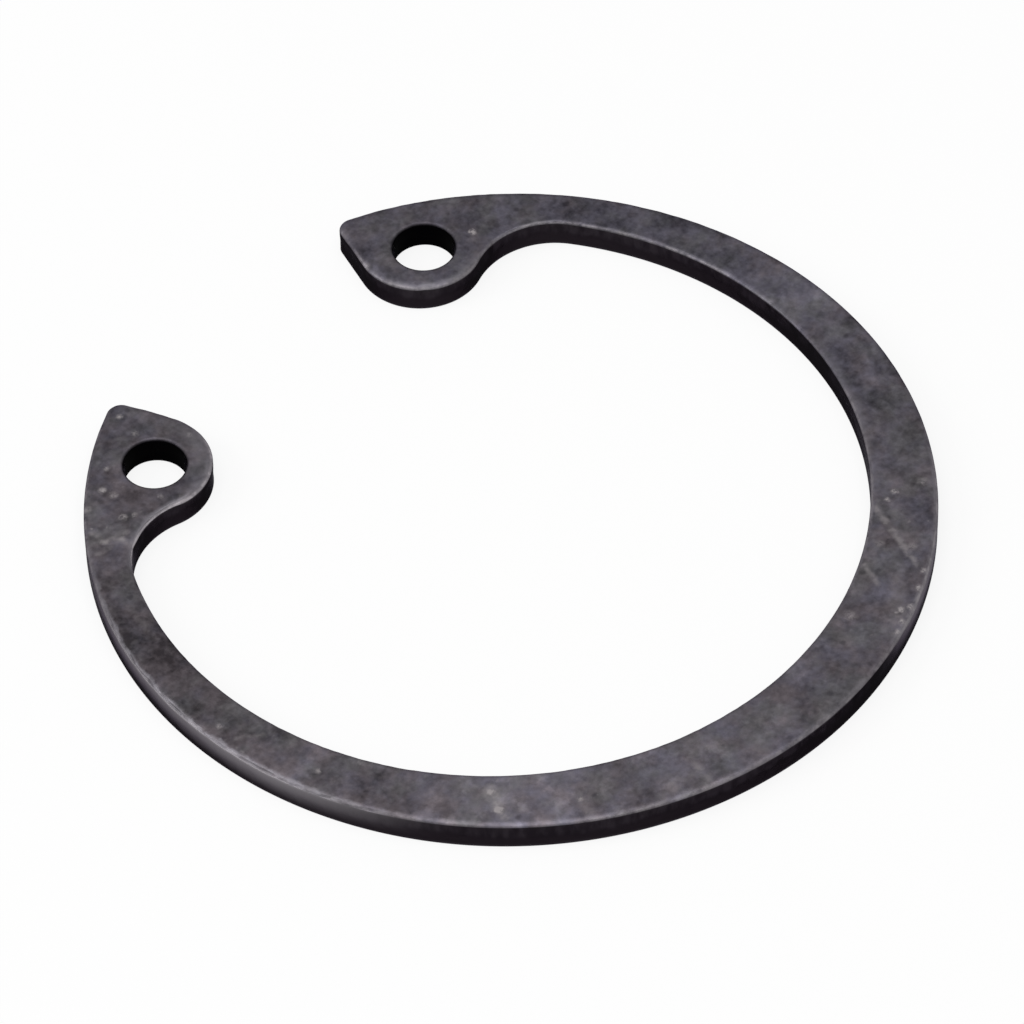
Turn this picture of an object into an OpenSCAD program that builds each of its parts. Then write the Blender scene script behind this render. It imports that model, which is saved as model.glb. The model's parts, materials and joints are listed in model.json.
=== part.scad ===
// Internal retaining ring for a bore: one piece of stamped spring steel, lying flat.
// The origin is the centre of the outer circle on the face that it lies on, +Z is up,
// and the gap between the two lugs opens towards +Y.

/* [Ring] */
// Outside diameter of the ring, lying free
free_d = 32.1; // [30:0.1:36]
// Thickness of the steel
thickness = 1.2; // [0.8:0.05:2]
// Width of the band opposite the gap, where it is widest
band_w = 2.72; // [2.2:0.02:3.6]
// How far the centre of the inner circle lies from the outer one's, towards the gap: it thins the band there
taper = 0.76; // [0.3:0.02:1.1]

/* [Lugs] */
// Narrowest distance between the two lugs
gap_w = 10.3; // [6:0.1:14]
// How far a lug reaches in from the outside diameter
lug_depth = 4.65; // [4:0.05:5.6]
// Radius of a lug's rounded inner end
lug_r = 2.48; // [2:0.02:2.8]
// Radius of the hollow that runs from a lug into the band
root_r = 3.12; // [1.5:0.02:5]
// Angle of a lug's end face to the middle line of the gap, in degrees
end_lean = 20.7; // [10:0.1:30]
// Radius of the corner between a lug's end face and the outside
tip_r = 0.57; // [0.35:0.01:1]

/* [Plier holes] */
// Diameter of a plier hole
hole_d = 2.4; // [1.6:0.05:2.8]
// How far a hole lies from the centre of its lug's round end, inwards along the end face
hole_in = 0.31; // [0:0.01:0.5]

/* [Edges] */
// Width of the rounding that the punch leaves along the upper edges
roll_w = 0.22; // [0.08:0.01:0.3]
// Height of that rounding
roll_h = 0.14; // [0.05:0.01:0.3]
// Width and height of the rounding at the upper end of a plier hole
hole_roll = 0.1; // [0.04:0.01:0.2]
// Rounding that tumbling leaves along the lower edges
lower_break = 0.06; // [0.03:0.01:0.15]

/* [Hidden] */
$fa = 3;
$fs = 0.08;

outer_r = free_d / 2;
inner_r = outer_r - band_w + taper;
inner_c = [0, taper];
hole_r = hole_d / 2;

// A round face reaches this far past the point where it would only touch the next one
bite = 0.005;
// A cutter reaches this far past the faces that it cuts through
over = 1;
// Flats that an edge's rounding is made of
roll_steps = 4;
break_steps = 2;
// The lug's round end is carried this far into the lug on both sides, in degrees
lug_lap = 25;

// The end face of the right-hand lug: its direction outwards, and the one into the gap
end_dir = [sin(end_lean), cos(end_lean)];
end_out = [-cos(end_lean), sin(end_lean)];

// Centre of the lug's round inner end: it clears the gap's middle line and keeps the lug's depth
lug_x = gap_w / 2 + lug_r;
lug_c = [lug_x, sqrt(pow(outer_r - lug_depth + lug_r, 2) - pow(lug_x, 2))];

hole_c = lug_c - hole_in * end_dir;

// Centre of the corner, which touches the end face's line and the outer circle
tip_off = lug_c * end_out + lug_r - tip_r;
tip_c = tip_off * end_out + sqrt(pow(outer_r - tip_r, 2) - pow(tip_off, 2)) * end_dir;
tip_dir = tip_c / norm(tip_c);

// The hollow touches the inner circle from inside and the lug's round end from outside: the distance
// and the direction of its centre from the inner circle's
root_d = inner_r - root_r;
root_to_lug = lug_c - inner_c;
root_a = atan2(root_to_lug[1], root_to_lug[0])
    - acos((pow(root_d, 2) + pow(norm(root_to_lug), 2) - pow(lug_r + root_r, 2))
        / (2 * root_d * norm(root_to_lug)));

// The right-hand half is built about the centre of the inner circle, turned until the hollow's
// centre lies on +X: there the band and the lug meet on the plane y = 0.
function turned(v) = [v[0] * cos(root_a) + v[1] * sin(root_a), v[1] * cos(root_a) - v[0] * sin(root_a)];
function local(p) = turned(p - inner_c);

// To the nearest micrometre, so that an edge runs on from one round face to the next without a step
function micron(x) = round(x * 1000) / 1000;

// The edge of the steel from the lower face to the upper one: [how far it stands back, height]
function edge(width, height, low) = concat(
    [for (i = [0:break_steps]) let (a = 90 * i / break_steps)
        [micron(low * (1 - sin(a))), micron(low * (1 - cos(a)))]],
    [for (i = [0:roll_steps]) let (a = 90 * i / roll_steps)
        [micron(width * (1 - cos(a))), thickness - micron(height * (1 - sin(a)))]]);

rim = edge(roll_w, roll_h, lower_break);
hole_rim = edge(hole_roll, hole_roll, lower_break);

module at(p)
    translate([p[0], p[1], 0]) children();

// A flat cutter that passes through both faces
module through(points)
    translate([0, 0, -over])
        linear_extrude(height = thickness + 2 * over)
            polygon(points);

// A round plate with the rim's edge, or a sector of one
module round_plate(r, from = 0, turn = 360)
    rotate([0, 0, from])
        rotate_extrude(angle = turn)
            polygon(concat([[0, 0]], [for (e = rim) [r - e[0], e[1]]], [[0, thickness]]));

// What a round opening removes: it widens at both faces as the edge does
module round_opening(r, e) {
    widen_low = e[0][0];
    widen_up = e[len(e) - 1][0];
    rotate_extrude()
        polygon(concat(
            [[0, -over], [r + widen_low, -over]],
            [for (p = e) [r + p[0], p[1]]],
            [[r + widen_up, thickness + over], [0, thickness + over]]));
}

// The band, up to the plane y = 0
module band()
    difference() {
        at(local([0, 0])) round_plate(outer_r);
        round_opening(inner_r, rim);
        through([[-free_d, 0], [free_d, 0], [free_d, free_d], [-free_d, free_d]]);
    }

// What the flat end face removes on its gap side
module end_face() {
    along = 90 - end_lean - root_a;
    at(local(lug_c + lug_r * end_out))
        rotate([0, 0, along])
            translate([-lug_r, 0, 0])
                rotate([90, 0, 90])
                    linear_extrude(height = lug_r + lug_depth + over)
                        polygon(concat(
                            [[gap_w / 2, -over], [-lower_break, -over]],
                            [for (e = rim) [-e[0], e[1]]],
                            [[-roll_w, thickness + over], [gap_w / 2, thickness + over]]));
}

// What lies outside the rounded corner, between the end face and the outer circle
module tip_corner() {
    reach = tip_r + over;
    through([local(tip_c), local(tip_c + reach * tip_dir),
        local(tip_c + reach * (tip_dir + end_out)), local(tip_c + reach * end_out)]);
}

// The lug, from the plane y = 0 to its end face
module lug() {
    gap_in = lug_c + (lug_r + over) * end_out;
    gap_side = gap_in + (lug_depth + over) * end_dir;
    to_root = [root_d, 0] - local(lug_c);
    end_from = 180 - end_lean - root_a - lug_lap;
    end_to = 360 + atan2(to_root[1], to_root[0]) + lug_lap;
    difference() {
        intersection() {
            at(local([0, 0])) round_plate(outer_r);
            through([[root_d, 0], local(lug_c), local(gap_in), local(gap_side),
                free_d * turned(end_dir), [free_d, outer_r], [free_d, 0]]);
        }
        at([root_d, 0]) round_opening(root_r, rim);
        end_face();
        tip_corner();
    }
    at(local(tip_c)) round_plate(tip_r + bite);
    at(local(lug_c)) round_plate(lug_r + bite, end_from, end_to - end_from);
}

module right_half()
    intersection() {
        at(inner_c)
            rotate([0, 0, root_a]) {
                band();
                lug();
            }
        translate([0, -free_d, -over])
            cube([free_d, 2 * free_d, thickness + 2 * over]);
    }

module retaining_ring()
    color([0.28, 0.27, 0.29])
        difference() {
            union() {
                right_half();
                mirror([1, 0, 0]) right_half();
            }
            for (side = [-1, 1])
                at([side * hole_c[0], hole_c[1]]) round_opening(hole_r, hole_rim);
        }

retaining_ring();
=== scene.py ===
import json
import math

import bmesh
import bpy
import numpy as np
from mathutils import Matrix, Vector


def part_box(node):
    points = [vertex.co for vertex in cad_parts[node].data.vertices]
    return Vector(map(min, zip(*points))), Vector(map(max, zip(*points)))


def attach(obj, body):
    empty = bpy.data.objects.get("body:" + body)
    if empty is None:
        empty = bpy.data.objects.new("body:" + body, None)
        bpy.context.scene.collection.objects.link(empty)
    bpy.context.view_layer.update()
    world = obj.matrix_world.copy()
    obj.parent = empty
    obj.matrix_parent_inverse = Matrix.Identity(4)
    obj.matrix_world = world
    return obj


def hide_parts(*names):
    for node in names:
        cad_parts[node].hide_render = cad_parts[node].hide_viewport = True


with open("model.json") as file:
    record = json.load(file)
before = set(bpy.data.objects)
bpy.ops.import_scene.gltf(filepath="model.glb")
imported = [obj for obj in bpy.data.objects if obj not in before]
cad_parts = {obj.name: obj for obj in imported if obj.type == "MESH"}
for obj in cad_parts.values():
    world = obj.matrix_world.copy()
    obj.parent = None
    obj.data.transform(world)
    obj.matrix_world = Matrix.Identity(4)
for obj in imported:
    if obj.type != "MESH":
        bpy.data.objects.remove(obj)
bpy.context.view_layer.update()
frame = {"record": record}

# The retaining ring: one piece of spring steel, blanked from a strip, so that its upper edges are
# drawn round and the lower part of its walls is torn. It was hardened, tumbled and phosphated
# nearly black, and it lies flat. Lengths here are in millimetres, until the mesh is made.
MM = 0.001
_, ring_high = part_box("retaining_ring")
mounts = {mount["name"]: mount for mount in frame["record"]["mounts"]}

outer_r = ring_high.x / MM
thickness = ring_high.z / MM
band_w = 2.72
taper = 0.76
inner_r = outer_r - band_w + taper
lug_r = 2.48
root_r = 3.12
tip_r = 0.57
lug_depth = 4.65
gap_w = 10.3
end_lean = math.radians(20.7)
hole_centre = np.array(mounts["plier_hole_right"]["pos_m"][:2]) / MM
hole_r = mounts["plier_hole_right"]["dims"]["r_mm"]

outer_c = np.zeros(2)
inner_c = np.array([0, taper])
end_dir = np.array([math.sin(end_lean), math.cos(end_lean)])
end_out = np.array([-math.cos(end_lean), math.sin(end_lean)])
end_turn = math.pi - end_lean

# The lug's round end clears the middle of the gap, and keeps the lug's depth
lug_x = gap_w / 2 + lug_r
lug_c = np.array([lug_x, math.sqrt((outer_r - lug_depth + lug_r) ** 2 - lug_x ** 2)])

# The corner touches the end face's line and the outer circle
tip_off = lug_c @ end_out + lug_r - tip_r
tip_c = tip_off * end_out + math.sqrt((outer_r - tip_r) ** 2 - tip_off ** 2) * end_dir
tip_turn = math.atan2(tip_c[1], tip_c[0])

# The hollow touches the inner circle from inside and the lug's round end from outside
root_d = inner_r - root_r
to_lug = lug_c - inner_c
lug_d = np.linalg.norm(to_lug)
root_turn = math.atan2(to_lug[1], to_lug[0]) - math.acos(
    (root_d ** 2 + lug_d ** 2 - (lug_r + root_r) ** 2) / (2 * root_d * lug_d))
root_c = inner_c + root_d * np.array([math.cos(root_turn), math.sin(root_turn)])
lug_root_turn = math.atan2(lug_c[1] - root_c[1], lug_c[0] - root_c[0])

# The band is parted from the lug on a line across it, from the outside to the hollow
parting_outer = math.radians(40)
parting_root = math.radians(65)


def arc(centre, radius, start, end, steps, hollow=False):
    """Points of a circular arc from start to end, without the last one: centre + radius (cos, sin).

    With each come the way out of the steel, which is reversed in a hollow, and the curvature there."""
    turn = np.linspace(start, end, steps, endpoint=False)
    way = np.stack([np.cos(turn), np.sin(turn)], 1)
    side = -1 if hollow else 1
    return centre + radius * way, side * way, np.full(steps, side / radius)


def straight(start, end, way, steps):
    """Points of a straight line, without the last one, and the same way out of the steel for all."""
    share = np.linspace(0, 1, steps, endpoint=False)[:, None]
    return start + share * (end - start), np.tile(way, (steps, 1)), np.zeros(steps)


# The right half's outline runs round the steel: out along the outer circle from the point opposite
# the gap, round the lug, and back along the hollow and the inner circle.
band_steps = 300
root_steps = 18
pieces = [
    arc(outer_c, outer_r, -math.pi / 2, parting_outer, band_steps),
    arc(outer_c, outer_r, parting_outer, tip_turn, 68),
    arc(tip_c, tip_r, tip_turn, end_turn, 20),
    straight(tip_c + tip_r * end_out, lug_c + lug_r * end_out, end_out, 18),
    arc(lug_c, lug_r, end_turn, lug_root_turn + math.pi, 60),
    arc(root_c, root_r, lug_root_turn, parting_root, 26, hollow=True),
    arc(root_c, root_r, parting_root, root_turn, root_steps, hollow=True),
    arc(inner_c, inner_r, root_turn, -math.pi / 2, band_steps - root_steps, hollow=True),
    (inner_c + [[0, -inner_r]], np.array([[0, 1]]), np.array([-1 / inner_r])),
]
plan = np.concatenate([p[0] for p in pieces])
way_out = np.concatenate([p[1] for p in pieces])
curvature = np.concatenate([p[2] for p in pieces])
parting_in = len(plan) - 1 - band_steps


def soft_step(low, high, value):
    """0 below low, 1 above high, and a cubic ease between them."""
    share = np.clip((value - low) / (high - low), 0, 1)
    return share * share * (3 - 2 * share)


# The punch draws the edge down further where the outline turns out tightly, and less in a hollow or
# by the lug's corner. The curvature is averaged over the steel near by, with a bell curve along the
# outline of the first width below, and a curvature of the second number counts for three quarters.
NEAR_BY = 0.7
TIGHT = 0.3
CORNER_REACH, CORNER_LOSS = 1.2, 0.25
ROLL_W, ROLL_W_OUT, ROLL_W_IN = 0.2, 0.28, 0.04
ROLL_H, ROLL_H_OUT, ROLL_H_IN = 0.13, 0.06, 0.02
steps_long = np.linalg.norm(np.diff(plan, axis=0), axis=1)
along = np.concatenate([[0], np.cumsum(steps_long)])
weight = np.concatenate([[0], steps_long]) + np.concatenate([steps_long, [0]])
bell = np.exp(-((along[:, None] - along[None]) / NEAR_BY) ** 2) * weight
tightness = bell @ curvature / bell.sum(1)
turned_out = np.tanh(np.maximum(tightness, 0) / TIGHT)
turned_in = np.tanh(np.maximum(-tightness, 0) / TIGHT)
end_limit = 1 - CORNER_LOSS * np.exp(-(np.linalg.norm(plan - tip_c, axis=1) / CORNER_REACH) ** 2)
roll_w = (ROLL_W + ROLL_W_OUT * turned_out) * end_limit - ROLL_W_IN * turned_in
roll_h = ROLL_H + ROLL_H_OUT * turned_out - ROLL_H_IN * turned_in
lower_break = 0.06
hole_roll_w = 0.16
hole_roll_h = 0.13

LOW_ROWS, WALL_ROWS, ROLL_ROWS, FACE_ROWS = 4, 9, 12, 12


def edge_section(width, height):
    """The edge from the lower face to the upper one, as (how far it stands back, height), by rows.

    A quarter circle below, a straight wall, and a quarter ellipse of the given width and height."""
    low = np.linspace(0, math.pi / 2, LOW_ROWS)[:, None]
    roll = np.linspace(0, math.pi / 2, ROLL_ROWS)[:, None]
    rise = np.linspace(0, 1, WALL_ROWS + 2)[1:-1, None]
    back = np.concatenate([
        lower_break * (1 - np.sin(low)) + 0 * width,
        0 * rise + 0 * width,
        width * (1 - np.cos(roll))])
    up = np.concatenate([
        lower_break * (1 - np.cos(low)) + 0 * height,
        lower_break + rise * (thickness - height - lower_break),
        thickness - height * (1 - np.sin(roll))])
    return back, up


grids = []


def add_grid(points, closed=False):
    """Keeps a grid of points (rows, columns, 3) and its four-sided faces, joined round if closed."""
    rows, columns = points.shape[:2]
    corner = np.arange(rows * columns).reshape(rows, columns)
    if closed:
        corner = np.concatenate([corner, corner[:, :1]], 1)
    faces = np.stack([corner[:-1, :-1], corner[:-1, 1:], corner[1:, 1:], corner[1:, :-1]], -1)
    grids.append((points.reshape(-1, 3), faces.reshape(-1, 4)))


def between(first, last):
    """A grid from one curve to the other, with its rows closer together near both."""
    share = (1 - np.cos(np.linspace(0, math.pi, FACE_ROWS + 1))) / 2
    return first + share[:, None, None] * (last - first)


# The edge is carried along the outline
back, up = edge_section(roll_w, roll_h)
edge = np.concatenate([plan - back[..., None] * way_out, up[..., None]], 2)
add_grid(edge)

# The same edge is carried round the plier hole, at the angles at which its points face the outline
parting = between(plan[parting_in][None], plan[band_steps][None])[1:-1, 0]
loop = np.concatenate([plan[band_steps:parting_in + 1], parting])
facing = np.arctan2(loop[:, 1] - hole_centre[1], loop[:, 0] - hole_centre[0])
hole_way = np.stack([np.cos(facing), np.sin(facing)], 1)
back, up = edge_section(np.full(len(facing), hole_roll_w), np.full(len(facing), hole_roll_h))
hole_edge = np.concatenate([hole_centre + (hole_r + back[..., None]) * hole_way, up[..., None]], 2)
add_grid(hole_edge, closed=True)

# Both flat faces: a grid across the band, and one from the hole to the lug's outline
for row in (0, -1):
    rim = edge[row]
    band = between(rim[:band_steps + 1], rim[:parting_in - 1:-1])
    add_grid(band)
    lug_rim = np.concatenate([rim[band_steps:parting_in + 1], band[::-1, -1][1:-1]])
    add_grid(between(hole_edge[row], lug_rim), closed=True)

first = np.cumsum([0] + [len(points) for points, _ in grids])
half_points = np.concatenate([points for points, _ in grids])
half_faces = np.concatenate([faces + start for (_, faces), start in zip(grids, first)])
points = np.concatenate([half_points, half_points * [-1, 1, 1]])
faces = np.concatenate([half_faces, half_faces + len(half_points)])

ring_mesh = bpy.data.meshes.new("ring_surface")
ring_mesh.from_pydata((points * MM).tolist(), [], faces.tolist())
joiner = bmesh.new()
joiner.from_mesh(ring_mesh)
bmesh.ops.remove_doubles(joiner, verts=joiner.verts, dist=1e-7)
bmesh.ops.recalc_face_normals(joiner, faces=joiner.faces)
joiner.to_mesh(ring_mesh)
joiner.free()
ring_mesh.shade_smooth()


def lattice_noise(places, seed):
    """Smooth noise from 0 to 1: random values at whole numbers, eased between them along x, y and z."""
    size = 64
    values = np.random.default_rng(seed).random((size, size, size))
    base = np.floor(places).astype(int)
    ease = places - base
    ease = ease * ease * (3 - 2 * ease)
    total = np.zeros(len(places))
    for corner in np.ndindex(2, 2, 2):
        share = np.prod(np.where(corner, ease, 1 - ease), axis=1)
        total += share * values[tuple(((base + corner) % size).T)]
    return total


# Masks of the finish, from the way that the surface faces: the walls, the torn lower part of them,
# the broad shoulder of the upper edge and its crest, which tumbling wears and where a highlight is
# partly painted, and the plier holes' edges, which it doesn't reach and where shade is painted.
count = len(ring_mesh.vertices)
place = np.empty(count * 3)
facing_way = np.empty(count * 3)
ring_mesh.vertices.foreach_get("co", place)
ring_mesh.vertex_normals.foreach_get("vector", facing_way)
place = place.reshape(-1, 3) / MM
facing_way = facing_way.reshape(-1, 3)
upward = facing_way[:, 2]
height = place[:, 2]
across = np.abs(place[:, :2] * [1, 0]) + place[:, :2] * [0, 1]


def plan_distance(x, y):
    """How far each point lies from (x, y) in the plan."""
    return np.linalg.norm(place[:, :2] - [x, y], axis=1)


to_hole = np.linalg.norm(across - [abs(hole_centre[0]), hole_centre[1]], axis=1)
at_hole = 1 - soft_step(hole_r + 0.25, hole_r + 0.4, to_hole)
# Painted shade: the rims of the plier holes are darkened, where the edge rolls into the hole
hole_painted_shade = 1 - soft_step(hole_r - 0.02, hole_r + 0.13, to_hole)
wall = 1 - soft_step(0.05, 0.5, np.abs(upward))
tear_line = thickness * (0.34 + 0.2 * lattice_noise(place * [0.8, 0.8, 0] + 7, 3)
                         + 0.12 * lattice_noise(place * [3.1, 3.1, 0] + 7, 4))
torn = wall * (1 - soft_step(tear_line - 0.16, tear_line + 0.12, height))
burnished = soft_step(0.0, 0.95 * thickness, height) * (1 - at_hole)
upper = soft_step(0.08, 0.4, upward)
above = upper * (1 - at_hole)
crest = above * (1 - soft_step(0.82, 0.97, upward))
shoulder = above * (1 - soft_step(0.955, 0.9995, upward))

# Where tumbling has rubbed the edges most, and where the crest's painted highlight is strongest:
# (x, y, radius, amount)
WEAR_AND_HIGHLIGHT_SPOTS = [
    (-6.4, 9.4, 3.2, 1.1), (-9.6, 9.2, 2.6, 1.2), (-11.1, 8.9, 1.6, 1.2), (5.9, -14.9, 2.6, 1.2),
    (9.6, -12.9, 6.0, 0.9), (6.2, 9.4, 2.2, 0.35), (-2.0, -16.0, 5.0, 0.3), (9.5, 9.5, 3.0, 0.3),
    (14.0, -2.5, 4.5, -1.4), (-12.2, -10.4, 4.5, -0.5),
]
edge_wear_and_highlight = np.zeros(count)
for x, y, radius, amount in WEAR_AND_HIGHLIGHT_SPOTS:
    edge_wear_and_highlight += amount * (1 - soft_step(0.3 * radius, radius, plan_distance(x, y)))

# The sides where the outer wall is rubbed and partly painted lighter as if lit: broadly on the left,
# and on the right and the left lug's end
to_rim = outer_r - plan_distance(0, 0)
near_rim = 1 - soft_step(1.2, 2, to_rim)
left_side = (1 - soft_step(3.5, 11.0, plan_distance(-16.0, 1.5))) * near_rim
right_side = (1 - soft_step(2.5, 6.5, plan_distance(8.6, -13.6))) * near_rim
right_side += 0.6 * (1 - soft_step(1.0, 2.4, plan_distance(-5.2, 11.4)))
left_rim = above * (1 - soft_step(0.1, 0.4, to_rim)) * left_side

# Where the steel stands back: the torn part, shallow grooves that the punch draws down the walls, the
# knocks of tumbling along the edges, a wider rubbed edge on the left, and a faint unevenness
TEAR_DEPTH, TEAR_GRIT, GROOVE_DEPTH = 0.006, 0.016, 0.005
KNOCK_DEPTH, DENT_DEPTH, EDGE_GRIT = 0.020, 0.014, 0.005
LEFT_RIM_DEPTH, UNEVEN_DEPTH = 0.02, 0.004
groove = lattice_noise(place * [5.3, 5.3, 0.5] + 11, 5)
grit = lattice_noise(place * [6.1, 6.1, 4] + 3, 6)
knock = soft_step(0.4, 0.85, lattice_noise(place * [1.7, 1.7, 1.2] + 5, 8))
dents = soft_step(0.35, 0.8, lattice_noise(place * [3.6, 3.6, 2] + 21, 10))
unevenness = lattice_noise(place * [0.45, 0.45, 0.2] + 9, 9)
tumbled = np.clip(0.5 + edge_wear_and_highlight + left_side, 0, 2)
set_back = (torn * (TEAR_DEPTH + TEAR_GRIT * grit) + wall * GROOVE_DEPTH * groove
            + crest * tumbled * (KNOCK_DEPTH * knock + DENT_DEPTH * dents + EDGE_GRIT * grit)
            + left_rim * LEFT_RIM_DEPTH
            + UNEVEN_DEPTH * unevenness * np.abs(upward))

# Nicks in the upper edge: (x, y, radius, depth)
NICKS = [(5.89, 9.75, 0.2, 0.05), (5.35, 12.3, 0.14, 0.03), (-11.1, 9.05, 0.22, 0.04)]
NICK_BELOW_FACE = 0.06
for x, y, radius, depth in NICKS:
    apart = np.linalg.norm(place - [x, y, thickness - NICK_BELOW_FACE], axis=1)
    set_back += depth * np.exp(-(apart / radius) ** 2)

place -= facing_way * set_back[:, None]
ring_mesh.vertices.foreach_set("co", (place * MM).ravel())
masks = {"wall": wall, "torn": torn, "burnished": burnished, "crest": crest, "shoulder": shoulder,
         "hole_painted_shade": hole_painted_shade, "edge_wear_and_highlight": edge_wear_and_highlight, "left_side": left_side, "right_side": right_side,
         "upper": upper}
for name, mask in masks.items():
    ring_mesh.attributes.new(name, "FLOAT", "POINT").data.foreach_set("value", mask)
ring_mesh.update()

retaining_ring = bpy.data.objects.new("retaining_ring_steel", ring_mesh)
bpy.context.collection.objects.link(retaining_ring)


def node(tree, kind, inputs=None, **settings):
    """Adds a shader node, with its settings, and its inputs set to a value or joined to an output."""
    made = tree.nodes.new(kind)
    for name, value in settings.items():
        setattr(made, name, value)
    for name, value in (inputs or {}).items():
        if isinstance(value, bpy.types.NodeSocket):
            tree.links.new(value, made.inputs[name])
        else:
            made.inputs[name].default_value = value
    return made


def maths(tree, operation, *values, clamp=False):
    """The output of a Math node on one to three values or outputs."""
    inputs = dict(enumerate(values))
    return node(tree, "ShaderNodeMath", inputs, operation=operation, use_clamp=clamp).outputs[0]


def vector_maths(tree, operation, *values):
    """A Vector Math node on up to three vectors or outputs."""
    return node(tree, "ShaderNodeVectorMath", dict(enumerate(values)), operation=operation)


def scaled(tree, vector, factor):
    """A vector or colour times a number."""
    return node(tree, "ShaderNodeVectorMath", {0: vector, "Scale": factor}, operation="SCALE").outputs[0]


def ease(tree, value, low, high, to_low=0.0, to_high=1.0):
    """value taken from low..high to to_low..to_high, with a soft start and end."""
    inputs = {"Value": value, "From Min": low, "From Max": high, "To Min": to_low, "To Max": to_high}
    return node(tree, "ShaderNodeMapRange", inputs, interpolation_type="SMOOTHSTEP").outputs["Result"]


def blend(tree, share, first, second):
    """The colour between two, by share."""
    made = node(tree, "ShaderNodeMix", data_type="RGBA")
    for socket, value in ((made.inputs[0], share), (made.inputs[6], first), (made.inputs[7], second)):
        if isinstance(value, bpy.types.NodeSocket):
            tree.links.new(value, socket)
        else:
            socket.default_value = value
    return made.outputs[2]


def group(name, inputs, outputs):
    """An empty shader node group with named sockets: (tree, its inputs, its output node)."""
    tree = bpy.data.node_groups.new(name, "ShaderNodeTree")
    for socket, kind in inputs:
        tree.interface.new_socket(socket, in_out="INPUT", socket_type="NodeSocket" + kind)
    for socket, kind in outputs:
        tree.interface.new_socket(socket, in_out="OUTPUT", socket_type="NodeSocket" + kind)
    given = tree.nodes.new("NodeGroupInput").outputs
    return tree, given, tree.nodes.new("NodeGroupOutput")


# A mark that is a line: 1 on the line between two points, easing to 0 at its width
scratch, given, result = group(
    "scratch", [("Vector", "Vector"), ("From", "Vector"), ("To", "Vector"), ("Width", "Float")],
    [("Mask", "Float")])
reach = vector_maths(scratch, "SUBTRACT", given["To"], given["From"]).outputs[0]
offset = vector_maths(scratch, "SUBTRACT", given["Vector"], given["From"]).outputs[0]
share = maths(scratch, "DIVIDE", vector_maths(scratch, "DOT_PRODUCT", offset, reach).outputs["Value"],
              vector_maths(scratch, "DOT_PRODUCT", reach, reach).outputs["Value"], clamp=True)
nearest = scaled(scratch, reach, share)
apart = vector_maths(scratch, "DISTANCE", offset, nearest).outputs["Value"]
scratch.links.new(ease(scratch, maths(scratch, "DIVIDE", apart, given["Width"]), 0.0, 1.0, 1.0, 0.0),
                  result.inputs["Mask"])

# A mark that is a spot: 1 at its middle, easing to 0 at its radius
spot, given, result = group(
    "spot", [("Vector", "Vector"), ("Centre", "Vector"), ("Radius", "Float")], [("Mask", "Float")])
apart = vector_maths(spot, "DISTANCE", given["Vector"], given["Centre"]).outputs["Value"]
spot.links.new(ease(spot, maths(spot, "DIVIDE", apart, given["Radius"]), 0.0, 1.0, 1.0, 0.0),
               result.inputs["Mask"])

steel = bpy.data.materials.new("phosphated_spring_steel")
steel.use_nodes = True
tree = steel.node_tree
tree.nodes.clear()
place_in_mm = scaled(tree, node(tree, "ShaderNodeTexCoord").outputs["Object"], 1 / MM)

# The finish's colours: the coating's browner, bluer and greener greys, its pits and light marks, the
# walls, the steel where tumbling has rubbed it, partly painted highlight, and painted shade at the holes'
# edges, where no light comes
COAT_BROWN = (0.0775, 0.0668, 0.0735, 1)
COAT_BLUE = (0.0695, 0.0655, 0.0825, 1)
COAT_GREEN = (0.0705, 0.0690, 0.0715, 1)
PIT = (0.030, 0.028, 0.033, 1)
LIGHT_MARK = (0.26, 0.24, 0.245, 1)
WALL_DARK = (0.0165, 0.0135, 0.0165, 1)
WALL_LIGHT = (0.0290, 0.0245, 0.0290, 1)
TORN_WALL = (0.0175, 0.0140, 0.0170, 1)
RUBBED_AND_LIT_WALL = (0.190, 0.178, 0.190, 1)
STRIPE_WEAR_AND_HIGHLIGHT = (0.160, 0.152, 0.168, 1)
RUBBED_SHOULDER = (0.150, 0.141, 0.156, 1)
CREST_WEAR_AND_HIGHLIGHT = (0.215, 0.200, 0.212, 1)
LUG_CREST_WEAR_AND_HIGHLIGHT = (0.340, 0.315, 0.335, 1)
HOLE_PAINTED_SHADE = (0.0006, 0.0004, 0.0008, 1)


def noise(scale, detail, roughness, stretch=None, output="Fac"):
    """Fractal noise with so many waves to the millimetre, drawn out along z where stretch is given."""
    vector = place_in_mm
    if stretch:
        vector = vector_maths(tree, "MULTIPLY", place_in_mm, (1, 1, stretch)).outputs[0]
    inputs = {"Vector": vector, "Scale": scale, "Detail": detail, "Roughness": roughness}
    return node(tree, "ShaderNodeTexNoise", inputs).outputs[output]


def painted(name):
    """One of the masks that the mesh carries."""
    return node(tree, "ShaderNodeAttribute", attribute_name=name).outputs["Fac"]


def mark_sum(kind, vector, marks, amounts):
    """The sum of the marks' masks at vector, each times its amount."""
    total = 0.0
    for inputs, amount in zip(marks, amounts):
        made = node(tree, "ShaderNodeGroup", node_tree=kind)
        tree.links.new(vector, made.inputs["Vector"])
        for name, value in inputs.items():
            made.inputs[name].default_value = value
        total = maths(tree, "MULTIPLY_ADD", made.outputs["Mask"], amount, total)
    return total


def spots(vector, rows):
    """The sum of round marks on the upper face, from rows of (x, y, radius, amount)."""
    return mark_sum(spot, vector, [{"Centre": (x, y, thickness), "Radius": r} for x, y, r, _ in rows],
                    [amount for *_, amount in rows])


def lines(vector, rows):
    """The sum of marks along lines on the upper face, from rows of (from, to, width, amount)."""
    return mark_sum(scratch, vector, [{"From": (*a, thickness), "To": (*b, thickness), "Width": w}
                                      for a, b, w, _ in rows], [amount for *_, amount in rows])


def cells(vector, scale):
    """Cells at random, so many to the millimetre: the distance from their middles, and three random shares."""
    made = node(tree, "ShaderNodeTexVoronoi", {"Vector": vector, "Scale": scale, "Randomness": 1.0})
    return made.outputs["Distance"], node(tree, "ShaderNodeSeparateColor", {0: made.outputs["Color"]}).outputs
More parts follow.
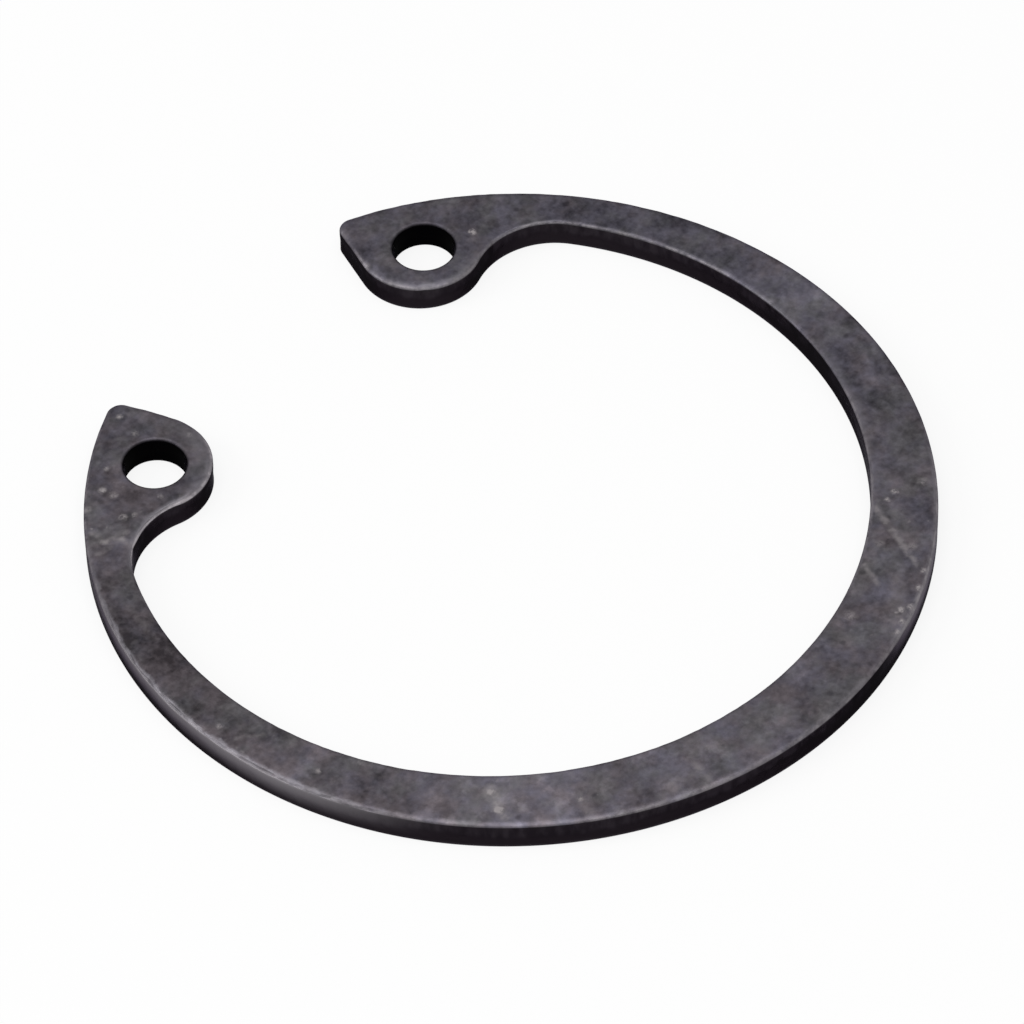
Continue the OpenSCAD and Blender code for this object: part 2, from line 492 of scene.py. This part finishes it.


# Lighter and darker regions of the upper face, partly the coating's tone and partly painted sheen:
# (x, y, radius, share more or less)
TONE_AND_SHEEN_REGIONS = [
    (-11.3, -9.8, 5.2, 0.72), (-5.5, -14.0, 9.5, 0.34), (6.0, -13.5, 7.5, 0.14), (15.2, -1.4, 2.8, 0.5),
    (-15.3, -3.0, 4.0, 0.15), (-14.2, 5.2, 5.0, -0.34), (12.5, 8.6, 8.5, -0.08), (-6.8, 11.4, 1.6, -0.2),
    (-12.0, 12.0, 3.0, 0.1),
]
# A slow drift from the browner left to the bluer right: (x, y, radius, amount)
DRIFT = [(-15.0, 4.0, 15.0, -0.13), (13.0, 4.0, 15.0, 0.15)]
# Places with more light specks: (x, y, radius, amount)
DUSTY = [
    (-10.2, 11.4, 3.4, 1.0), (-11.6, 9.4, 2.4, 0.8), (-11.3, -9.8, 4.5, 0.9), (-7.5, -13.8, 4.0, 0.6),
    (5.8, -14.4, 3.2, 1.0), (-14.6, -2.5, 3.5, 0.5), (9.4, -11.2, 2.6, 0.6),
]
# Scratches and rubbed lines on the upper face: (from, to, width, amount)
SCRATCHES = [
    ((8.68, -10.53), (7.50, -13.62), 0.22, 0.46), ((6.17, -12.19), (5.80, -13.16), 0.19, 0.34),
    ((-11.64, 10.60), (-11.66, 9.95), 0.22, 0.34), ((-11.66, 9.95), (-10.80, 9.72), 0.22, 0.34),
    ((-12.27, 9.75), (-11.14, 9.60), 0.22, 0.28), ((-11.14, 9.60), (-11.08, 9.08), 0.22, 0.4),
    ((-11.70, -10.20), (-11.15, -9.05), 0.4, 0.7), ((-5.28, -13.82), (-5.51, -14.67), 0.26, 0.34),
    ((-9.60, -12.60), (-9.22, -11.60), 0.3, 0.3), ((-13.4, 7.0), (-13.9, 5.2), 0.25, 0.14),
    ((-15.43, -0.37), (-14.65, -1.04), 0.2, 0.24), ((6.9, -13.2), (4.4, -15.4), 0.5, 0.18),
]
# Small spots where the coating is chipped: (x, y, radius, amount)
CHIPS = [
    (9.32, 10.42, 0.21, 2.4), (5.86, 9.80, 0.22, 2.4), (-6.68, 13.96, 0.19, 1.0), (-9.82, 11.83, 0.25, 1.1),
    (-8.90, 12.47, 0.2, 0.8), (-10.28, 10.31, 0.25, 0.8), (-9.73, 11.37, 0.25, 0.7),
    (-9.92, 10.04, 0.2, 0.7), (-15.42, 0.5, 0.22, 0.8), (-14.61, -3.71, 0.2, 0.8), (-13.26, -4.60, 0.2, 0.6),
    (-5.58, 11.31, 0.2, 0.6), (9.77, -10.62, 0.22, 1.3), (9.25, -10.67, 0.18, 1.1), (7.47, -14.03, 0.19, 1.3),
    (6.66, -14.45, 0.21, 1.5), (5.75, -14.85, 0.26, 1.3), (5.40, -14.65, 0.2, 1.4), (4.98, -15.1, 0.25, 1.4),
    (4.5, -15.3, 0.22, 1.2), (-11.62, -9.95, 0.24, 1.9), (-11.2, -9.1, 0.2, 1.3), (-9.28, -11.77, 0.18, 0.8),
    (5.35, 12.3, 0.18, 0.8), (-6.9, 12.9, 0.25, 0.5), (-10.9, 11.6, 0.22, 0.7), (-11.2, 12.2, 0.2, 0.5),
    (-8.6, 10.0, 0.2, 0.5), (10.85, -11.09, 0.3, 0.5), (3.95, -13.43, 0.35, 0.5), (8.1, -12.9, 0.28, 0.5),
    (7.4, -11.9, 0.25, 0.4),
]

# The marks stray a little, so that none has an even outline
STRAY = 0.22
wander = vector_maths(tree, "SUBTRACT", noise(3.4, 2.0, 0.6, output="Color"), (0.5, 0.5, 0.5)).outputs[0]
strayed = vector_maths(tree, "ADD", place_in_mm, vector_maths(
    tree, "MULTIPLY", wander, (STRAY, STRAY, 0.0)).outputs[0]).outputs[0]
# Partly painted sheen: these regions lighten and darken patches of the upper face
tone_and_sheen_regions = spots(strayed, TONE_AND_SHEEN_REGIONS)
dusty = spots(strayed, DUSTY)
chips = spots(strayed, CHIPS)
scratches = lines(strayed, SCRATCHES)

# The coating's tone: fine crystals, blotches, lighter smudges and the regions above, which are partly
# painted sheen, between a brown and a blue grey
crystals = noise(4.4, 3.0, 0.55)
blotches = noise(1.3, 3.0, 0.6)
smudges = ease(tree, noise(0.85, 4.0, 0.62), 0.5, 0.72)
clouds = noise(0.33, 2.0, 0.5)
level = maths(tree, "MULTIPLY_ADD", crystals, 1.05, 0.475)
level = maths(tree, "MULTIPLY_ADD", blotches, 1.7, maths(tree, "SUBTRACT", level, 0.85))
level = maths(tree, "MULTIPLY_ADD", clouds, 0.45, maths(tree, "SUBTRACT", level, 0.27))
level = maths(tree, "ADD", level, ease(tree, noise(2.4, 3.0, 0.5), 0.44, 0.58, 0.0, 0.1))
level = maths(tree, "MULTIPLY_ADD", smudges, maths(tree, "MULTIPLY_ADD", tone_and_sheen_regions, 1.1, 0.3), level)
level = maths(tree, "MAXIMUM", maths(tree, "MULTIPLY_ADD", tone_and_sheen_regions, 0.9, level), 0.4)
hue = maths(tree, "ADD", noise(0.8, 3.0, 0.6), spots(place_in_mm, DRIFT))
greener = ease(tree, noise(0.6, 4.0, 0.65, stretch=3.0), 0.42, 0.66, 0.0, 0.65)
face_colour = blend(tree, ease(tree, hue, 0.28, 0.72), COAT_BROWN, COAT_BLUE)
face_colour = blend(tree, greener, face_colour, COAT_GREEN)
face_colour = scaled(tree, face_colour, level)

# Dust-like specks, lighter than the coating, and more of them in some places, and small dark pits
from_speck, speck_chance = cells(strayed, 2.1)
specks = maths(tree, "MULTIPLY", ease(tree, from_speck, 0.02, 0.19, 1.0, 0.0),
               ease(tree, speck_chance[0], 0.55, 0.95))
specks = maths(tree, "MULTIPLY", specks, maths(tree, "MULTIPLY_ADD", dusty, 0.6, 0.07))
from_pit, pit_chance = cells(strayed, 1.5)
pits = maths(tree, "MULTIPLY", ease(tree, from_pit, 0.08, 0.25, 1.0, 0.0),
             ease(tree, pit_chance[1], 0.6, 0.95, 0.0, 0.55))
chips = maths(tree, "MULTIPLY", chips, ease(tree, noise(6.3, 4.0, 0.7), 0.38, 0.58, 0.12, 1.0))
scratches = maths(tree, "MULTIPLY", scratches, ease(tree, noise(3.0, 2.0, 0.5), 0.36, 0.6, 0.4, 1.0))
light_marks = maths(tree, "ADD", maths(tree, "ADD", specks, scratches), chips, clamp=True)
face_colour = blend(tree, pits, face_colour, PIT)
face_colour = blend(tree, light_marks, face_colour, LIGHT_MARK)

# The walls are blacker, with faint streaks down them. The upper part of them is lighter in some
# places, and most on the left: partly rubbed by tumbling and partly painted light from the left.
edge_wear_and_highlight = painted("edge_wear_and_highlight")
left_side = painted("left_side")
streaks = ease(tree, noise(2.6, 4.0, 0.6, stretch=0.35), 0.34, 0.68)
wall_colour = blend(tree, streaks, WALL_DARK, WALL_LIGHT)
wall_colour = blend(tree, painted("torn"), wall_colour, TORN_WALL)
# Painted light in part: the upper walls on the left are lightened as if lit from that side
rubbed_and_lit_wall = maths(tree, "MULTIPLY", painted("burnished"), maths(
    tree, "MULTIPLY_ADD", left_side, 1.1, maths(tree, "MULTIPLY", painted("right_side"), 1.2)), clamp=True)
wall_colour = blend(tree, rubbed_and_lit_wall, wall_colour, RUBBED_AND_LIT_WALL)
colour = blend(tree, painted("wall"), face_colour, wall_colour)

# Stripes painted light, partly rubbed wear and partly painted highlight of the edges' bevels, with
# ragged inner sides: along the outside on the left, and fainter ones along the inside on the right,
# round the left lug's end and along its hollow
flat_place = vector_maths(tree, "MULTIPLY", place_in_mm, (1, 1, 0)).outputs[0]
ragged = maths(tree, "MULTIPLY_ADD", noise(1.4, 3.0, 0.6), 0.5, -0.25)


def from_axis(x, y):
    """The distance in the plan from (x, y)."""
    return vector_maths(tree, "DISTANCE", flat_place, (x, y, 0)).outputs["Value"]


from_outside = maths(tree, "SUBTRACT", outer_r, from_axis(0, 0))
left_stripe = ease(tree, maths(tree, "ADD", from_outside, ragged), 0.11, 0.22, 1.0, 0.0)
left_stripe = maths(tree, "MULTIPLY", left_stripe, maths(
    tree, "MULTIPLY", left_side, ease(tree, noise(2.4, 3.0, 0.6), 0.36, 0.62, 0.4, 0.9)))
from_inside = maths(tree, "SUBTRACT", from_axis(0, taper), inner_r)
right_stripe = ease(tree, maths(tree, "MULTIPLY_ADD", ragged, 0.6, from_inside), 0.1, 0.5, 1.0, 0.0)
right_stripe = maths(tree, "MULTIPLY", right_stripe, spots(place_in_mm, [(11.6, -6.6, 5.5, 0.3)]))
# Painted light: a lighter band round the left lug's end, standing in for a bevel that catches the light
lug_bevel_painted_light = ease(tree, from_axis(-lug_c[0], lug_c[1]), 1.55, 2.1)
lug_bevel_painted_light = maths(tree, "MULTIPLY", lug_bevel_painted_light, spots(strayed, [(-5.3, 10.9, 3.2, 0.34)]))
from_hollow = maths(tree, "SUBTRACT", from_axis(-root_c[0], root_c[1]), root_r)
hollow_stripe = ease(tree, maths(tree, "MULTIPLY_ADD", ragged, 0.5, from_hollow), 0.12, 0.3, 1.0, 0.0)
hollow_stripe = maths(tree, "MULTIPLY", hollow_stripe, spots(strayed, [(-9.3, 9.2, 3.6, 0.75)]))
# Painted highlight in part: the stripes' light colour stands in for light caught by the edges' bevels
stripes_wear_and_highlight = maths(tree, "ADD", maths(tree, "ADD", left_stripe, right_stripe), maths(
    tree, "ADD", lug_bevel_painted_light, hollow_stripe))
stripes_wear_and_highlight = maths(tree, "MULTIPLY", stripes_wear_and_highlight, painted("upper"), clamp=True)
colour = blend(tree, stripes_wear_and_highlight, colour, STRIPE_WEAR_AND_HIGHLIGHT)

# The upper edge is lighter, unevenly, most along its crest, and brightest on the left lug: partly
# worn by tumbling and partly painted highlight
patchy = ease(tree, noise(1.9, 4.0, 0.7), 0.38, 0.64, 0.02, 0.48)
crest_wear_and_highlight = maths(tree, "MULTIPLY_ADD", edge_wear_and_highlight, maths(tree, "MULTIPLY_ADD", patchy, 0.5, 0.3), patchy)
crest_wear_and_highlight = maths(tree, "MULTIPLY_ADD", left_side, -0.15, crest_wear_and_highlight)
crest_wear_and_highlight = maths(tree, "MULTIPLY", painted("crest"), crest_wear_and_highlight, clamp=True)
rubbed = maths(tree, "MULTIPLY", painted("shoulder"), maths(
    tree, "MULTIPLY", ease(tree, noise(1.1, 4.0, 0.65), 0.36, 0.62, 0.05, 0.45),
    maths(tree, "MULTIPLY_ADD", edge_wear_and_highlight, 1.3, 0.35)), clamp=True)
crest_wear_and_highlight_colour = blend(tree, spots(place_in_mm, [(-8.2, 9.4, 6.0, 1.5)]), CREST_WEAR_AND_HIGHLIGHT, LUG_CREST_WEAR_AND_HIGHLIGHT)
colour = blend(tree, rubbed, colour, RUBBED_SHOULDER)
# Painted highlight in part: the crest's light colour also stands in for the light that the rounded edge
# catches
colour = blend(tree, crest_wear_and_highlight, colour, crest_wear_and_highlight_colour)
# Painted shade: the holes' rims are turned nearly black
colour = blend(tree, painted("hole_painted_shade"), colour, HOLE_PAINTED_SHADE)

# The finish is satin, duller on its crystals and smoother where it is worn, with a fine relief
BUMP_MM = 0.02
gloss = maths(tree, "MULTIPLY_ADD", crystals, 0.16, 0.38)
gloss = maths(tree, "MULTIPLY_ADD", crest_wear_and_highlight, -0.08, gloss)
relief = maths(tree, "MULTIPLY_ADD", blotches, 0.8, maths(tree, "MULTIPLY", crystals, 0.6))
relief = maths(tree, "MULTIPLY_ADD", noise(24.0, 2.0, 0.5), 0.2, relief)
relief = maths(tree, "SUBTRACT", relief, maths(tree, "MULTIPLY", light_marks, 0.1))
bump = node(tree, "ShaderNodeBump", {"Strength": 0.6, "Distance": BUMP_MM * MM, "Height": relief})
surface = node(tree, "ShaderNodeBsdfPrincipled", {
    "Base Color": colour, "Metallic": 0.95, "Roughness": gloss, "Specular IOR Level": 0.2,
    "Specular Tint": (0.25, 0.23, 0.28, 1), "Normal": bump.outputs[0]})
tree.links.new(surface.outputs[0], node(tree, "ShaderNodeOutputMaterial").inputs["Surface"])

ring_mesh.materials.append(steel)
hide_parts("retaining_ring")
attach(retaining_ring, "root")

# The floor: a plain white studio sheet that the ring lies on. What is seen directly or mirrored is
# white, with the ring's soft shadow kept in it.
FLOOR_HALF = 3.0
FLOOR_DROP = 0.00002
WHITE_SHARE = 0.85
floor_mesh = bpy.data.meshes.new("floor")
floor_mesh.from_pydata([(x * FLOOR_HALF, y * FLOOR_HALF, -FLOOR_DROP) for x, y in
                        ((-1, -1), (1, -1), (1, 1), (-1, 1))], [], [(0, 1, 2, 3)])
floor = bpy.data.objects.new("floor", floor_mesh)
bpy.context.collection.objects.link(floor)


def seen_white(tree):
    """1 for what the camera sees directly or in a reflection or refraction, and 0 for other light."""
    path = node(tree, "ShaderNodeLightPath").outputs
    seen = maths(tree, "MAXIMUM", path["Is Camera Ray"], path["Is Glossy Ray"])
    return maths(tree, "MAXIMUM", seen, path["Is Transmission Ray"])


sheet = bpy.data.materials.new("white_sheet")
sheet.use_nodes = True
tree = sheet.node_tree
tree.nodes.clear()
shadowed = node(tree, "ShaderNodeBsdfDiffuse", {"Color": (0.95, 0.95, 0.95, 1)})
white = node(tree, "ShaderNodeEmission", {"Color": (1, 1, 1, 1), "Strength": 1.0})
seen = node(tree, "ShaderNodeMixShader", {0: WHITE_SHARE, 1: shadowed.outputs[0], 2: white.outputs[0]})
unseen = node(tree, "ShaderNodeBsdfDiffuse", {"Color": (0.3, 0.3, 0.3, 1)})
whole = node(tree, "ShaderNodeMixShader", {0: seen_white(tree), 1: unseen.outputs[0], 2: seen.outputs[0]})
tree.links.new(whole.outputs[0], node(tree, "ShaderNodeOutputMaterial").inputs["Surface"])
floor_mesh.materials.append(sheet)

# The light: a white room that is dim for all but what is seen, a broad lamp overhead, and a
# smaller one low on the left that draws out the edges.
ROOM_LIGHT = 0.35
world = bpy.data.worlds.new("studio")
bpy.context.scene.world = world
world.use_nodes = True
tree = world.node_tree
tree.nodes.clear()
room = node(tree, "ShaderNodeBackground", {
    "Color": (1, 1, 1, 1), "Strength": ease(tree, seen_white(tree), 0.0, 1.0, ROOM_LIGHT, 1.0)})
tree.links.new(room.outputs[0], node(tree, "ShaderNodeOutputWorld").inputs["Surface"])


def lamp(name, azimuth, elevation, distance, size, power):
    """A square area lamp that faces the ring from so many degrees round it and above the floor."""
    a, e = math.radians(azimuth), math.radians(elevation)
    away = Vector((math.sin(a) * math.cos(e), -math.cos(a) * math.cos(e), math.sin(e)))
    turned = away.to_track_quat("Z", "Y").to_matrix().to_4x4()
    light = bpy.data.lights.new(name, "AREA")
    light.size = size
    light.energy = power
    made = bpy.data.objects.new(name, light)
    made.matrix_world = Matrix.Translation(away * distance) @ turned
    bpy.context.collection.objects.link(made)


lamp("overhead_lamp", azimuth=-60, elevation=78, distance=0.5, size=0.5, power=1.6)
lamp("left_lamp", azimuth=-130, elevation=35, distance=0.5, size=0.25, power=0.7)

# The camera looks down on the ring from over its left lug, with a long lens. The point that it
# looks at lies a little off the centre of the upper face, as the ring lies in the picture.
CAMERA_AZIMUTH = math.radians(-46.85)
CAMERA_ELEVATION = math.radians(47.85)
CAMERA_ROLL = math.radians(-1.46)
CAMERA_DISTANCE = 0.321
LENS_MM = 300.5
AIM_RIGHT, AIM_DOWN = 0.05 * MM, 0.52 * MM
sideways = Vector((math.cos(CAMERA_AZIMUTH), math.sin(CAMERA_AZIMUTH), 0))
away = Vector((sideways.y * math.cos(CAMERA_ELEVATION), -sideways.x * math.cos(CAMERA_ELEVATION),
               math.sin(CAMERA_ELEVATION)))
upright = away.cross(sideways)
picture_right = sideways * math.cos(CAMERA_ROLL) + upright * math.sin(CAMERA_ROLL)
picture_up = upright * math.cos(CAMERA_ROLL) - sideways * math.sin(CAMERA_ROLL)
face_centre = Vector((0, 0, thickness * MM))
camera_place = face_centre + away * CAMERA_DISTANCE
aim = face_centre + picture_right * AIM_RIGHT - picture_up * AIM_DOWN
camera_back = (camera_place - aim).normalized()
camera_right = picture_up.cross(camera_back).normalized()
camera_data = bpy.data.cameras.new("camera")
camera_data.lens = LENS_MM
camera_data.sensor_width = 36
camera_data.clip_start = 0.01
camera = bpy.data.objects.new("camera", camera_data)
camera.matrix_world = Matrix.Translation(camera_place) @ Matrix(
    (camera_right, camera_back.cross(camera_right), camera_back)).transposed().to_4x4()
bpy.context.collection.objects.link(camera)
bpy.context.scene.camera = camera

bpy.context.scene.view_settings.view_transform = "Standard"
